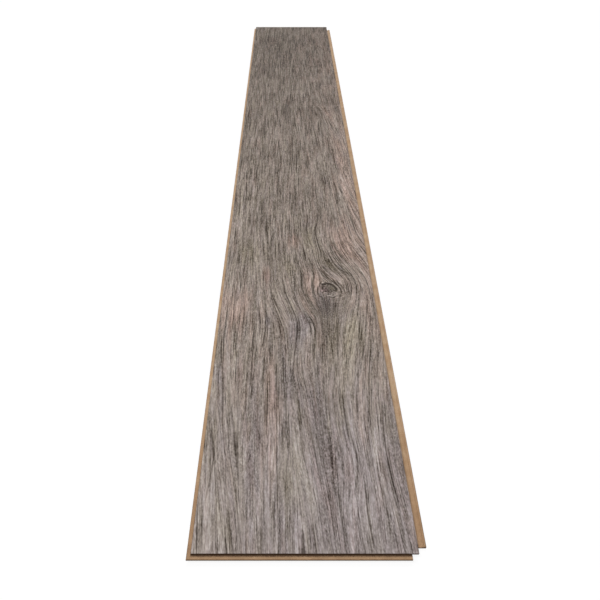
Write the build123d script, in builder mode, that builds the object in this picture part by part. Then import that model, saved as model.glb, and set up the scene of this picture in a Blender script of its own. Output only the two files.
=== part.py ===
from build123d import *
import os

os.makedirs("parts", exist_ok=True)

# A click-together laminate floorboard, lying face up on its underside.
# Millimetres. Origin: on the underside, below the centre of the face. The long side runs along Y.
# The long tongue is on the -X side and the end tongue at -Y, each facing a groove across the board.

# Face and thickness
face_width = 193.0
face_length = 1380.0
board_thickness = 8.0
decor_thickness = 0.4

# Tongue and groove, alike on the long sides and the ends
upper_lip_thickness = 2.5
tongue_thickness = 2.5
lock_clearance = 0.1
tongue_tip_radius = 0.9
groove_end_radius = 0.9

# Long sides
long_tongue_reach = 4.1
long_groove_depth = 5.5
long_lip_reach = 8.3

# Ends
end_tongue_reach = 4.3
end_groove_depth = 5.5
end_lip_reach = 6.9

# Locking rib along the outer part of each lower lip, and the sunk seat between it and the groove
rib_height = 0.8
rib_crest_width = 1.1
rib_inner_run = 0.7
rib_outer_run = 0.8
rib_outer_drop = 0.9
seat_depth = 0.5
seat_margin = 0.9
rib_edge_radius = 0.25

# The long lower lip stops this far short of the face's end at the +Y corner
long_lip_trim = 9.0

# Heights above the underside
groove_ceiling = board_thickness - upper_lip_thickness
tongue_top = groove_ceiling - lock_clearance
tongue_bottom = tongue_top - tongue_thickness
lip_top = tongue_bottom - lock_clearance
core_thickness = board_thickness - decor_thickness

# The cutters run past the stock on every side
cutter_overrun = 2 * board_thickness
cutter_length = face_length + face_width

EAST, WEST = Vector(1, 0, 0), Vector(-1, 0, 0)
NORTH, SOUTH = Vector(0, 1, 0), Vector(0, -1, 0)
UP = Vector(0, 0, 1)


def edge_plane(outward):
    """Section plane of one side: its x runs outward from the face's edge, its y runs up from the underside."""
    half_face = face_width / 2 if outward.X else face_length / 2
    return Plane(origin=outward * half_face, x_dir=outward, z_dir=outward.cross(UP))


def lip_face(reach):
    """Section of a lower lip from the face's edge outward: sunk seat, locking rib, sloped nose."""
    crest_end = reach - rib_outer_run
    crest_start = crest_end - rib_crest_width
    rib_foot = crest_start - rib_inner_run
    seat_end = rib_foot - seat_margin
    with BuildSketch(Plane.XY) as section:
        with BuildLine():
            ThreePointArc((0, lip_top), (seat_end / 2, lip_top - seat_depth), (seat_end, lip_top))
            Polyline(
                (seat_end, lip_top),
                (rib_foot, lip_top),
                (crest_start, lip_top + rib_height),
                (crest_end, lip_top + rib_height),
                (reach, lip_top + rib_height - rib_outer_drop),
                (reach, 0),
                (0, 0),
                (0, lip_top),
            )
        make_face()
        fillet(section.vertices().group_by(Axis.Y)[-1], radius=rib_edge_radius)
    return section.sketch


def lip_room(reach):
    """The neighbour's lower lip and all that is below it, seen from the side that rests on that lip."""
    with BuildSketch(Plane.XY) as section:
        add(lip_face(reach))
        with Locations((reach / 2, -cutter_overrun / 2)):
            Rectangle(reach, cutter_overrun)
        with Locations((-cutter_overrun / 2, (lip_top - cutter_overrun) / 2)):
            Rectangle(cutter_overrun, lip_top + cutter_overrun)
        offset(amount=lock_clearance, kind=Kind.INTERSECTION)
    return mirror(section.sketch, about=Plane.YZ)


def tongue_face(reach):
    """Section of a tongue with a rounded tip, its root inside the board."""
    root = tongue_thickness
    with BuildSketch(Plane.XY) as section:
        with Locations(((reach - root) / 2, (tongue_top + tongue_bottom) / 2)):
            Rectangle(reach + root, tongue_thickness)
        fillet(section.vertices().group_by(Axis.X)[-1], radius=tongue_tip_radius)
    return section.sketch


def groove_face(depth):
    """Section of a groove with rounded bottom corners, open to the outside."""
    with BuildSketch(Plane.XY) as section:
        with Locations((-depth / 2, (groove_ceiling + lip_top) / 2)):
            Rectangle(depth, groove_ceiling - lip_top)
        fillet(section.vertices().group_by(Axis.X)[0], radius=groove_end_radius)
    return section.sketch


def open_side():
    """Everything outside the face's edge, over and under the board, for the sketch in hand."""
    with Locations((cutter_overrun / 2, board_thickness / 2)):
        Rectangle(cutter_overrun, board_thickness + 2 * cutter_overrun)


def tongue_cutter(outward, reach, neighbour_lip):
    """Leaves a tongue standing and hollows out the room below it for the neighbour's lower lip."""
    with BuildSketch(edge_plane(outward)) as cutter:
        open_side()
        add(tongue_face(reach), mode=Mode.SUBTRACT)
        add(lip_room(neighbour_lip))
    return cutter.sketch


def groove_cutter(outward, depth, lip_reach):
    """Leaves a lower lip standing and cuts the groove above it."""
    with BuildSketch(edge_plane(outward)) as cutter:
        open_side()
        add(lip_face(lip_reach), mode=Mode.SUBTRACT)
        add(groove_face(depth))
    return cutter.sketch


def corner_block(x_range, y_range):
    """A block to take away below the upper lip, over the given stretch of width and length."""
    width, length = x_range[1] - x_range[0], y_range[1] - y_range[0]
    height = groove_ceiling + cutter_overrun
    centre = (sum(x_range) / 2, sum(y_range) / 2, groove_ceiling - height / 2)
    return Location(centre) * Box(width, length, height, mode=Mode.PRIVATE)


# Core: one piece of fibreboard, with its four sides milled one after another
half_width, half_length = face_width / 2, face_length / 2
stock_width = face_width + long_tongue_reach + long_lip_reach
stock_length = face_length + end_tongue_reach + end_lip_reach
beyond_x, beyond_y = half_width + cutter_overrun, half_length + cutter_overrun
with BuildPart() as hdf_core:
    with BuildSketch(Plane.XY):
        with Locations(((long_lip_reach - long_tongue_reach) / 2, (end_lip_reach - end_tongue_reach) / 2)):
            Rectangle(stock_width, stock_length)
    extrude(amount=core_thickness)
    for cutter in (
        tongue_cutter(WEST, long_tongue_reach, long_lip_reach),
        groove_cutter(EAST, long_groove_depth, long_lip_reach),
        tongue_cutter(SOUTH, end_tongue_reach, end_lip_reach),
        groove_cutter(NORTH, end_groove_depth, end_lip_reach),
    ):
        extrude(cutter, amount=cutter_length, both=True, mode=Mode.SUBTRACT)
    # Each lower lip is docked where the room below a tongue crosses it
    add(
        corner_block(
            (half_width - long_groove_depth, beyond_x),
            (-beyond_y, -half_length + end_lip_reach + lock_clearance),
        ),
        mode=Mode.SUBTRACT,
    )
    add(
        corner_block(
            (-beyond_x, -half_width + long_lip_reach + lock_clearance),
            (half_length - end_groove_depth, beyond_y),
        ),
        mode=Mode.SUBTRACT,
    )
    # The corner between the two lower lips is trimmed off
    add(
        corner_block((half_width, beyond_x), (half_length - long_lip_trim, beyond_y)),
        mode=Mode.SUBTRACT,
    )

# Decor: the printed and pressed wear face, as large as the face itself
with BuildPart() as decor_layer:
    with BuildSketch(Plane.XY.offset(core_thickness)):
        Rectangle(face_width, face_length)
    extrude(amount=decor_thickness)

hdf_core.part.label = "hdf_core"
export_step(hdf_core.part, "parts/hdf_core.step")
decor_layer.part.label = "decor_layer"
export_step(decor_layer.part, "parts/decor_layer.step")
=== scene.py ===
"""Looks of a click-together laminate floorboard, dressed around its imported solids.

The printed and embossed face is a new piece that stands for the plain decor layer. Its print and its
relief follow one grain field, whose lines run along the board, swerve round a knot and drift across
behind it. The fibreboard core keeps its own mesh and gets a finish. Everything is in metres, but places
and sizes of the pattern on the face, and the finishes' sizes, are in millimetres. The board's middle is
at zero, x runs across it and y along it, from the near end to the far one.
"""

import logging
import math
from dataclasses import dataclass, field
from enum import Enum, IntEnum

import bpy
import numpy as np
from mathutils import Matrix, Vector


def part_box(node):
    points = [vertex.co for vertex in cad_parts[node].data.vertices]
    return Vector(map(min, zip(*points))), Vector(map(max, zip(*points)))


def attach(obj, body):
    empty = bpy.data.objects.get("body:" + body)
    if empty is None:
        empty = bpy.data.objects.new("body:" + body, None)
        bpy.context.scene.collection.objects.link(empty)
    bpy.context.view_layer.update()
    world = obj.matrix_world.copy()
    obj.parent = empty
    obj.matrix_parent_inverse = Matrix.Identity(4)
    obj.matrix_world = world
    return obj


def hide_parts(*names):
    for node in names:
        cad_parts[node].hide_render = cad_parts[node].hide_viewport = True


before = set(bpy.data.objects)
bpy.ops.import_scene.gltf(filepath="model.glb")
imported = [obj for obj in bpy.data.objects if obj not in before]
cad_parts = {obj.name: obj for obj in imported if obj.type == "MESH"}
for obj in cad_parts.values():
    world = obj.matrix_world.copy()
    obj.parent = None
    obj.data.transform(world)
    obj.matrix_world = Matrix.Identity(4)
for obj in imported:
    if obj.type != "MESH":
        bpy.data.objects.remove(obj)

LOG = logging.getLogger("floorboard")
MM = 0.001
BODY = "root"
GRAIN_SIGNALS = ("Tone", "Lines", "Speckle", "Warm", "Cool")

Points = tuple[tuple[float, float], ...]
Span = tuple[float, float]
Colour = tuple[float, float, float]
Socket = bpy.types.NodeSocket
Sockets = bpy.types.bpy_prop_collection
Value = bpy.types.NodeSocket | float


class Tint(Enum):
    """Casts of colour that the print takes on in patches, as factors on its grey."""

    ROSY = (1.10, 0.97, 0.94)
    OLIVE = (1.0, 1.01, 0.90)
    VIOLET = (0.95, 0.972, 1.09)


class Layer(Enum):
    """Names of the mesh attributes that carry the print to the shader."""

    EVEN_GRAIN = "even_grain"
    ODD_GRAIN = "odd_grain"
    SHARES = "grain_shares"
    ZONES = "zones"
    KNOT = "knot"
    PRESSED = "pressed"


class Seed(IntEnum):
    """Which table of random numbers each effect on the face reads."""

    LONG_FURROWS = 7
    SHORT_FURROWS = 9
    PATCHES = 11
    WEAR = 13
    CRACKS = 23


class Mixed(Enum):
    """What a Mix node mixes: its data type and the ending of its sockets' identifiers."""

    NUMBER = ("FLOAT", "Float")
    COLOUR = ("RGBA", "Color")


@dataclass(frozen=True)
class Crack:
    """A dark split in the print, pressed into the face.

    Its points are (along, across), and its width and depth are in millimetres.
    """

    points: Points
    width: float
    depth: float


@dataclass(frozen=True)
class Patch:
    """A cloud of other tone or tint, stretched along the grain.

    Place and half-sizes are in millimetres. Tone is negative for darker, and rosy is negative for olive.
    """

    along: float
    across: float
    length: float
    width: float
    tone: float = 0.0
    rosy: float = 0.0
    violet: float = 0.0


@dataclass(frozen=True)
class Knot:
    """The knot in the print: its place, its wavering rim, its rings, and what is pressed there.

    Sizes and depths are in millimetres, and angles in radians from across the board towards along it.
    Reaches, edges and the rim's breadth are shares of the rim's radius. A wave of the rim is given by its
    number round the knot, its height and its start.
    """

    along: float = -362.0
    across: float = 39.5
    half_length: float = 8.6
    half_width: float = 10.0
    lobes: float = 0.08
    waves: tuple[tuple[int, float, float], ...] = ((2, 1.0, 0.6), (3, 0.7, -1.1), (5, 0.4, 0.0))
    ring_reach: float = 1.35
    ring_fade: float = 0.12
    open_side: float = -0.7
    open_reach: float = 1.1
    open_narrowing: float = 1.5
    dark_side: float = 1.2
    rim_all_round: float = 0.52
    rim_depth: float = 0.09
    rim_breadth: float = 0.09
    dish_depth: float = 0.05
    dish_edge: Span = (1.1, 0.2)
    furrow_edge: Span = (0.9, 1.15)
    furrows_inside: float = 0.3

    def polar(self, x: np.ndarray, y: np.ndarray) -> tuple[np.ndarray, np.ndarray]:
        """Radius and angle about the knot.

        The radius is the offset's length in half-axes, times one plus small sines of two, three and five
        times the angle, so that 1 is a wavering rim.

        Args:
            x: places across the board.
            y: places along the board.

        Returns:
            The radius as a share of the rim, and the angle.
        """
        u = (x - self.across) / self.half_width
        v = (y - self.along) / self.half_length
        angle = np.arctan2(v, u)
        wobble = sum(height * np.sin(number * angle + start) for number, height, start in self.waves)
        return np.hypot(u, v) * (1 + self.lobes * wobble), angle


# Grain lines that can be followed on the face, as (along, across)
GRAIN_LINES: tuple[Points, ...] = (
    ((-690, -62), (-650, -68), (-600, -78), (-560, -84), (-520, -88), (-470, -92)),
    ((-690, -85), (-640, -90), (-600, -93)),
    ((-690, -44), (-640, -47), (-560, -50), (-500, -50), (-440, -48)),
    ((-690, -20), (-600, -21), (-500, -22), (-440, -24), (-420, -28)),
    ((-690, 17), (-640, 12), (-600, 6), (-560, 1), (-520, -3), (-500, -7), (-475, -6), (-450, -4),
     (-425, -3), (-410, -5), (-390, -11), (-370, -17), (-350, -20), (-300, -22), (-250, -22)),
    ((-420, -19), (-405, -24), (-390, -29), (-375, -33), (-355, -37), (-300, -40), (-250, -43)),
    ((-460, -42), (-430, -40), (-415, -40), (-390, -43), (-350, -45), (-300, -47)),
    ((-415, 22), (-405, 18), (-395, 12), (-385, 8), (-375, 5), (-350, 4), (-325, 4), (-300, 1),
     (-280, -1), (-250, -2), (-200, -3)),
    ((-400, 26), (-390, 22), (-380, 19), (-365, 17), (-350, 17), (-335, 18), (-320, 15), (-300, 12)),
    ((-480, 30), (-440, 31), (-400, 33), (-385, 33)),
    ((-480, 45), (-440, 47), (-410, 50), (-390, 54), (-375, 57), (-362, 58), (-350, 57), (-342, 54),
     (-335, 47), (-325, 40), (-312, 34), (-300, 32), (-290, 33), (-275, 31), (-255, 28), (-240, 27),
     (-225, 29), (-210, 32), (-195, 32), (-150, 31)),
    ((-525, 45), (-480, 51), (-440, 58), (-410, 64), (-390, 70), (-370, 74), (-355, 75), (-345, 73),
     (-335, 68), (-320, 58), (-305, 51), (-290, 46), (-270, 42), (-250, 41), (-200, 43)),
    ((-560, 60), (-520, 63), (-480, 69), (-440, 76), (-410, 80), (-385, 83), (-365, 84), (-350, 83),
     (-335, 79), (-320, 72), (-305, 65), (-290, 60), (-275, 56), (-255, 53), (-235, 53)),
    ((-500, 80), (-460, 86), (-420, 91), (-390, 93), (-360, 93), (-345, 91), (-330, 86), (-315, 79),
     (-300, 73), (-280, 65), (-260, 61), (-240, 60)),
    ((-300, 92), (-285, 86), (-270, 80), (-255, 76), (-240, 74), (-200, 71)),
    ((-275, 97), (-262, 92), (-250, 88), (-235, 86), (-215, 84), (-195, 80), (-165, 78), (-130, 75),
     (-100, 70)),
    ((-200, 96), (-180, 92), (-165, 88), (-140, 84), (-100, 78), (-60, 74)),
    ((-690, 52), (-650, 50), (-625, 53), (-600, 53), (-580, 49), (-560, 47), (-530, 46)),
    ((-690, 62), (-640, 63), (-600, 62), (-560, 62)),
    ((-690, 89), (-650, 86), (-620, 83), (-590, 82), (-560, 83), (-530, 85), (-500, 88)),
    ((0, 92), (50, 88), (100, 84), (150, 80), (200, 78)),
    ((60, 82), (100, 76), (140, 70), (175, 63), (230, 57), (300, 55)),
    ((-200, 60), (-120, 56), (0, 52), (60, 51)),
    ((-150, 0), (0, 2), (150, -2), (300, 0), (600, 1)),
    ((-200, -50), (0, -49), (200, -51), (500, -52)),
    ((500, -72), (560, -77), (600, -82), (650, -85)),
)

# Dark splits that show as single lines: points as (along, across), width and depth
CRACKS: tuple[Crack, ...] = (
    # Before the knot and beside it
    Crack(((-512, -10), (-500, -8), (-475, -6), (-450, -3.5), (-425, -2.5), (-410, -4.5), (-390, -11),
           (-370, -17), (-350, -20), (-330, -21)), 1.7, 0.22),
    Crack(((-424, -17.5), (-405, -24), (-390, -29), (-375, -33), (-355, -37)), 1.5, 0.18),
    Crack(((-466, -42), (-445, -41), (-430, -40), (-410, -40), (-396, -42)), 1.6, 0.2),
    Crack(((-412, -79), (-395, -81), (-375, -80.5), (-350, -79), (-330, -82)), 1.4, 0.18),
    Crack(((-386, -56), (-372, -58), (-355, -60), (-335, -61)), 1.2, 0.14),
    # Round the knot
    Crack(((-386, 6), (-380, 4.5), (-375, 2.5), (-370, 1), (-365, 0.5), (-357, -1)), 1.5, 0.14),
    Crack(((-390, 13.5), (-383, 10.5), (-377, 9), (-372, 7.2), (-366, 5.6), (-358, 4.6), (-350, 4.4),
           (-340, 4.8), (-330, 3.8), (-322, 2.8), (-312, 1.2), (-302, 2)), 1.5, 0.2),
    Crack(((-392, 25.5), (-384, 23), (-377, 21), (-370, 19.8), (-360, 20), (-350, 20.2), (-344, 21.2),
           (-337, 21.5), (-329, 20), (-320, 17.5)), 2.1, 0.24),
    Crack(((-384, 33), (-380, 30), (-377, 27.8), (-373, 25.8), (-369, 24.8), (-365, 25), (-360, 26.3),
           (-355, 28), (-350, 30.5), (-346, 33.5)), 1.9, 0.24),
    Crack(((-407, 29.5), (-400, 26), (-395, 24.5), (-386, 22)), 1.9, 0.16),
    Crack(((-404, 44.5), (-397, 45.3), (-390, 46.5), (-382, 49)), 2.0, 0.16),
    Crack(((-374, 56), (-368, 55.6), (-364, 54.6), (-360, 53), (-355, 50.6), (-347, 45)), 2.1, 0.26),
    Crack(((-372, 60.5), (-366, 60), (-362, 58.8), (-358, 56.8), (-353, 54), (-345, 48.5)), 2.1, 0.26),
    Crack(((-372, 64), (-362, 64.2), (-352, 62), (-346, 60)), 1.8, 0.12),
    Crack(((-382, 66), (-372, 67.5), (-362, 70), (-350, 71)), 1.5, 0.12),
    Crack(((-372, 75.5), (-362, 76.5), (-352, 78), (-346, 76)), 1.5, 0.12),
    # Behind the knot
    Crack(((-293, 10), (-275, 7), (-258, 3), (-242, 0), (-222, -2)), 1.4, 0.14),
    Crack(((-302, 32), (-290, 33.5), (-275, 31), (-258, 29), (-240, 27.5), (-225, 29), (-210, 32),
           (-192, 32)), 2.1, 0.24),
    Crack(((-353, 51), (-349, 45.5), (-346, 41.5), (-342, 39.3), (-338, 37), (-334, 35), (-330, 33),
           (-323, 30)), 2.3, 0.26),
    Crack(((-343, 53), (-340, 50), (-337, 46.5), (-333, 43), (-328, 39.5), (-323, 37), (-316, 34)), 1.8, 0.2),
    Crack(((-338, 56), (-333, 51), (-328, 47), (-322, 43.5), (-314, 40)), 2.0, 0.18),
    Crack(((-336, 68), (-331, 64), (-326, 58), (-320, 54), (-313, 51)), 2.2, 0.18),
    Crack(((-282, 99), (-262, 92), (-250, 88), (-235, 86.5), (-215, 84), (-195, 81), (-165, 79)), 1.6, 0.18),
    Crack(((-205, 97), (-182, 92), (-165, 88), (-146, 85)), 1.6, 0.18),
    Crack(((-262, 80), (-245, 76), (-230, 74)), 1.4, 0.14),
    # At the near end
    Crack(((-646, -90), (-625, -87), (-600, -86), (-585, -86)), 1.4, 0.18),
    Crack(((-690, -88), (-672, -91), (-655, -93)), 1.4, 0.16),
    Crack(((-690, -63), (-668, -66), (-650, -69)), 1.4, 0.16),
    Crack(((-690, 59), (-655, 57), (-620, 57), (-600, 55)), 1.4, 0.18),
    Crack(((-642, 45), (-625, 50), (-606, 52.5), (-590, 51), (-572, 47)), 1.4, 0.18),
    Crack(((-680, 73), (-655, 75), (-630, 73)), 1.2, 0.14),
    Crack(((-672, 87), (-640, 85), (-600, 82), (-566, 82.5), (-540, 84)), 1.4, 0.18),
    Crack(((-640, -71), (-610, -74), (-590, -77)), 1.2, 0.14),
    Crack(((-690, 17), (-660, 14.5), (-630, 12)), 1.2, 0.14),
    Crack(((-590, 73), (-560, 69), (-545, 70), (-528, 75)), 1.2, 0.14),
    # On the far half
    Crack(((140, -21), (170, -21.5), (205, -20)), 2.0, 0.14),
    Crack(((550, -78), (580, -82), (610, -84)), 2.2, 0.16),
)

# Clouds of tone and tint on the face: place along and across, half-length and half-width
PATCHES: tuple[Patch, ...] = (
    # At the near end
    Patch(-686, -2.5, 9, 3.5, tone=0.24),
    Patch(-684, -25, 14, 8, tone=0.07),
    Patch(-684, 55, 12, 9, tone=-0.08),
    Patch(-680, 62, 14, 12, violet=0.9),
    Patch(-675, -68, 20, 9, rosy=-0.6),
    Patch(-675, 76, 26, 16, tone=-0.08),
    Patch(-664, 20, 30, 5, tone=-0.09),
    Patch(-660, 10, 30, 16, tone=-0.06),
    Patch(-650, 9, 32, 5, tone=0.12),
    Patch(-645, -86, 25, 8, tone=0.06),
    Patch(-640, -18, 26, 10, tone=-0.07),
    Patch(-628, -14, 30, 17, rosy=-0.55),
    Patch(-625, 50, 50, 10, tone=0.08, violet=0.6),
    Patch(-615, -65, 25, 7, tone=-0.07),
    Patch(-610, -9, 48, 9, tone=0.02, rosy=-0.6),
    Patch(-600, -30, 50, 8, tone=0.12, rosy=0.7),
    Patch(-600, 91, 60, 6, tone=-0.16),
    Patch(-592, 73, 26, 7, tone=0.13),
    Patch(-585, -50, 75, 7, tone=-0.18, violet=0.5),
    Patch(-585, 20, 85, 12, tone=-0.18, violet=0.8),
    # Before the knot
    Patch(-560, 52, 25, 10, tone=0.08),
    Patch(-540, -31, 40, 6, tone=0.05, rosy=0.9),
    Patch(-535, -84, 20, 5, tone=-0.08, violet=0.5),
    Patch(-515, -12, 35, 7, tone=-0.06, violet=1.0),
    Patch(-515, -3, 20, 8, tone=-0.08),
    Patch(-515, 14, 24, 7, tone=-0.07),
    Patch(-505, -9, 25, 4, tone=-0.14),
    Patch(-500, -92, 14, 4, tone=0.06, violet=1.3),
    Patch(-480, 60, 40, 14, tone=0.08, rosy=-0.35),
    Patch(-475, -20, 14, 5, tone=-0.14, violet=0.4),
    Patch(-470, 34, 18, 8, tone=0.07),
    Patch(-470, 76, 26, 14, tone=-0.08),
    Patch(-455, -75, 22, 14, tone=-0.05),
    Patch(-442, -45, 20, 8, tone=0.07),
    Patch(-440, 73, 18, 7, tone=-0.06),
    Patch(-435, 0, 26, 12, tone=-0.03, violet=1.3),
    Patch(-435, 62, 30, 12, tone=0.04, rosy=-0.8),
    Patch(-430, 36, 50, 12, tone=-0.18, rosy=-0.3),
    Patch(-425, -62, 15, 9, tone=-0.07),
    Patch(-420, -38, 10, 4, tone=-0.03, violet=1.2),
    Patch(-420, 14, 18, 6, tone=0.07),
    Patch(-420, 8, 14, 5, tone=-0.08, violet=0.9),
    # Round the knot and beside it
    Patch(-400, -78, 38, 17, tone=0.07, rosy=1.0),
    Patch(-395, -5, 24, 6, tone=0.09),
    Patch(-395, -87, 14, 8, tone=0.08),
    Patch(-392, 56, 14, 8, tone=-0.08),
    Patch(-391, 35, 20, 12.5, tone=-0.24, violet=0.9),
    Patch(-368, 36, 2.5, 6, tone=-0.24, rosy=0.4, violet=0.4),
    Patch(-365, 57, 22, 8, tone=-0.07),
    Patch(-364, 33, 5, 5, rosy=1.4, violet=1.2),
    Patch(-363, 43, 4, 4, tone=-0.06, rosy=-0.9),
    Patch(-355, 13, 30, 8, tone=0.10, rosy=0.8),
    Patch(-350, -87, 30, 8, tone=0.05),
    Patch(-349, 25, 14, 5, tone=0.10, rosy=0.8),
    Patch(-345, -38, 24, 24, tone=-0.05),
    Patch(-345, 34, 14, 8, tone=0.09),
    Patch(-344, 45, 4, 4, tone=0.12, rosy=0.5),
    Patch(-341, 63, 6, 4, tone=0.16),
    Patch(-336, -41, 14, 5, rosy=1.1),
    Patch(-335, 72, 14, 5, tone=-0.06, rosy=-0.3),
    Patch(-325, 54, 12, 9, tone=-0.22, rosy=-0.3),
    Patch(-322, 58, 6, 3, tone=-0.10, violet=0.9),
    # Behind the knot
    Patch(-318, -14, 20, 10, tone=-0.04, rosy=-0.8),
    Patch(-312, 40, 14, 9, tone=-0.12, rosy=-0.5),
    Patch(-305, 36, 22, 7, tone=-0.08),
    Patch(-300, -25, 34, 9, tone=-0.09),
    Patch(-300, -70, 30, 5, tone=-0.12),
    Patch(-290, -68, 25, 16, rosy=-0.9),
    Patch(-270, -66, 20, 9, tone=-0.07),
    Patch(-270, 66, 42, 17, tone=0.10, rosy=1.1),
    Patch(-262, -3, 16, 8, tone=0.03, rosy=1.3),
    Patch(-258, 18, 32, 11, rosy=-1.0),
    Patch(-225, 54, 22, 8, tone=-0.08),
    Patch(-205, -86, 38, 9, tone=0.15),
    Patch(-197, -48, 20, 5, tone=-0.12),
    Patch(-178, 36, 44, 9, tone=-0.12),
    Patch(-165, -20, 12, 14, tone=-0.10),
    Patch(-150, 85, 60, 10, tone=0.14, rosy=0.6),
    Patch(-145, 56, 26, 9, tone=0.08),
    Patch(-143, 6, 26, 16, tone=-0.09),
    Patch(-140, -75, 30, 16, tone=0.05),
    Patch(-130, 15, 36, 14, tone=-0.10),
    # On the far half
    Patch(-20, 80, 70, 10, tone=0.13, rosy=0.7),
    Patch(150, -12, 70, 8, tone=-0.12, violet=0.3),
    Patch(150, 68, 60, 6, tone=0.10, rosy=0.4),
    Patch(420, -60, 70, 14, tone=-0.08),
    Patch(540, -30, 70, 12, tone=-0.10),
    Patch(590, -70, 60, 8, tone=-0.08, rosy=-0.3),
)


def smooth_step(start: float, end: float, value: np.ndarray) -> np.ndarray:
    """Goes from 0 at the start to 1 at the end along three t squared minus two t cubed."""
    t = np.clip((value - start) / (end - start), 0.0, 1.0)
    return t * t * (3 - 2 * t)


def follow(points: Points, places: np.ndarray) -> np.ndarray:
    """Height at each place of the broken line through (place, height) points, level beyond its ends."""
    return np.interp(places, *zip(*points))


def bell(along: np.ndarray, across: np.ndarray) -> np.ndarray:
    """Bell curve with its top of 1 at zero: e to the minus sum of the squares of two offsets."""
    return np.exp(-(along**2) - across**2)


def lattice_noise(u: np.ndarray, v: np.ndarray, seed: int) -> np.ndarray:
    """Value noise: random numbers on whole-number places, eased between by the smooth step.

    Args:
        u: first coordinate, one lattice cell for each unit.
        v: second coordinate.
        seed: chooses the table of random numbers.

    Returns:
        Noise from -1 to 1 at each place.
    """
    cells = 512
    table = np.random.default_rng(seed).uniform(-1.0, 1.0, (cells, cells))
    iu, iv = np.floor(u).astype(int), np.floor(v).astype(int)
    fu, fv = smooth_step(0.0, 1.0, u - iu), smooth_step(0.0, 1.0, v - iv)
    near = table[iu % cells, iv % cells] * (1 - fv) + table[iu % cells, (iv + 1) % cells] * fv
    far = table[(iu + 1) % cells, iv % cells] * (1 - fv) + table[(iu + 1) % cells, (iv + 1) % cells] * fv
    return near * (1 - fu) + far * fu


def smooth_path(points: Points, along: np.ndarray) -> np.ndarray:
    """Place across the board of a line at each place along it, by cubics with shared slopes.

    Each stretch is the Hermite cubic of its two points and of the slopes there, which are those of
    the chords on both sides.

    Args:
        points: the line's points as (along, across), in order.
        along: where to read it.

    Returns:
        The line's place across the board, level beyond its ends.
    """
    y, x = (np.array(values, dtype=float) for values in zip(*points))
    slope = np.gradient(x, y)
    at = np.clip(along, y[0], y[-1])
    i = np.clip(np.searchsorted(y, at) - 1, 0, len(y) - 2)
    span = y[i + 1] - y[i]
    t = (at - y[i]) / span
    return (
        x[i] * (1 + 2 * t) * (1 - t) ** 2
        + x[i + 1] * t * t * (3 - 2 * t)
        + slope[i] * span * t * (1 - t) ** 2
        - slope[i + 1] * span * t * t * (1 - t)
    )


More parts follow.
